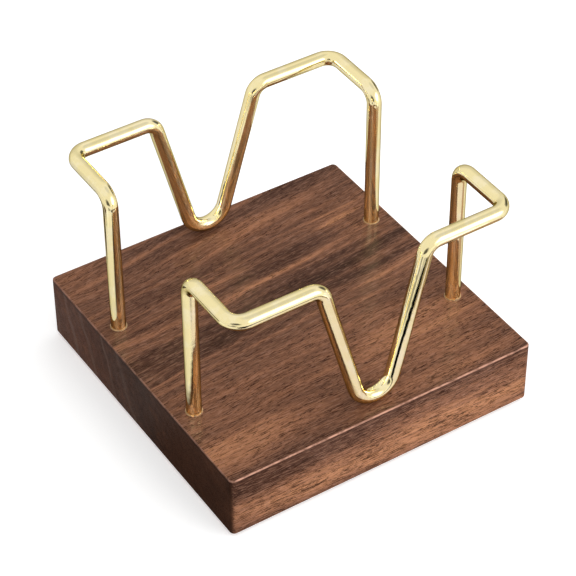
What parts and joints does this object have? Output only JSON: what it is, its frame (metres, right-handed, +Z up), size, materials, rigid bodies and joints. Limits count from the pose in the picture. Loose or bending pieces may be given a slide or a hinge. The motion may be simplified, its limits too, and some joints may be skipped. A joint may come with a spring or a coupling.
{
  "type": "memo pad holder",
  "caption": "Square walnut desk block with a mirror-image pair of bent brass wire guards that hold a stack of memo sheets and pinch loose notes.",
  "frame": {"origin": "centre of the block's footprint on the desk, at the underside of the four pads", "axes": "+Z up; +X along the guards' bars and the wood's long grain, to the right; -Y towards the front guard's side"},
  "size_m": [0.1, 0.1, 0.0712],
  "materials": {
    "walnut": "satin oiled walnut, grain along X",
    "brass": "mirror-polished plated wire",
    "clear_glue": "cured clear epoxy",
    "rubber_pad": "matt rubber"
  },
  "bodies": {
    "root": {"base_block": "walnut", "rear_guard": "brass", "front_guard": "brass", "rear_left_glue": "clear_glue", "rear_right_glue": "clear_glue", "front_left_glue": "clear_glue", "front_right_glue": "clear_glue", "rear_left_foot": "rubber_pad", "rear_right_foot": "rubber_pad", "front_left_foot": "rubber_pad", "front_right_foot": "rubber_pad"}
  },
  "joints": []
}
